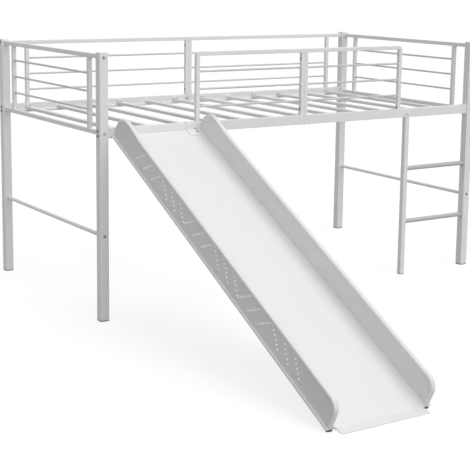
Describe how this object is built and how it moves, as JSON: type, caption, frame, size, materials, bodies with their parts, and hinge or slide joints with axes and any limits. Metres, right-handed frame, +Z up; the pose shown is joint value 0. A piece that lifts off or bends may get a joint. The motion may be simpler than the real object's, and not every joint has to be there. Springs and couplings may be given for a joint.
{
  "type": "loft bed with slide",
  "caption": "Low loft bed of square steel tube with bar guards on all sides, a moulded plastic slide at the left front and a short ladder at the right front.",
  "frame": {"origin": "middle of the part's bounding box, on the floor", "axes": "+X along the bed towards the ladder end, +Y from the slide's lower end to the bed's back, +Z up"},
  "size_m": [1.9828, 2.4762, 1.075],
  "materials": {
    "paint": "satin",
    "rung": "satin",
    "slide": "semi-matt",
    "bolt": "satin",
    "cap": "matt",
    "rubber": "matt"
  },
  "bodies": {
    "root": {"post_front_left": "paint", "post_cap_front_left": "cap", "rail_bolts_front_left": "bolt", "bolt_end_top_front_left": "bolt", "bolt_end_bottom_front_left": "bolt", "bolt_stretcher_front_left": "bolt", "post_front_right": "paint", "post_cap_front_right": "cap", "rail_bolts_front_right": "bolt", "bolt_end_top_front_right": "bolt", "bolt_end_bottom_front_right": "bolt", "bolt_stretcher_front_right": "bolt", "post_back_left": "paint", "post_cap_back_left": "cap", "rail_bolts_back_left": "bolt", "bolt_end_top_back_left": "bolt", "bolt_end_bottom_back_left": "bolt", "bolt_stretcher_back_left": "bolt", "post_back_right": "paint", "post_cap_back_right": "cap", "rail_bolts_back_right": "bolt", "bolt_end_top_back_right": "bolt", "bolt_end_bottom_back_right": "bolt", "bolt_stretcher_back_right": "bolt", "end_frame_left": "paint", "end_stretcher_left": "paint", "front_guard_left": "paint", "back_guard_left": "paint", "bolt_guard_back_left": "bolt", "end_frame_right": "paint", "end_stretcher_right": "paint", "front_guard_right": "paint", "back_guard_right": "paint", "bolt_guard_back_right": "bolt", "front_rail_left": "paint", "front_rail_right": "paint", "back_rail_left": "paint", "back_rail_right": "paint", "slat_01": "paint", "slat_02": "paint", "slat_03": "paint", "slat_04": "paint", "slat_05": "paint", "slat_06": "paint", "slat_07": "paint", "slat_08": "paint", "slat_09": "paint", "slat_10": "paint", "slat_11": "paint", "slat_12": "paint", "ladder_leg": "paint", "ladder_leg_cap": "cap", "ladder_rung_upper": "rung", "ladder_rung_lower": "rung", "slide_chute": "slide", "slide_bracket_right": "paint", "slide_bracket_left": "paint", "slide_foot_right": "rubber", "slide_foot_left": "rubber", "slide_floor_plate": "slide"}
  },
  "joints": []
}
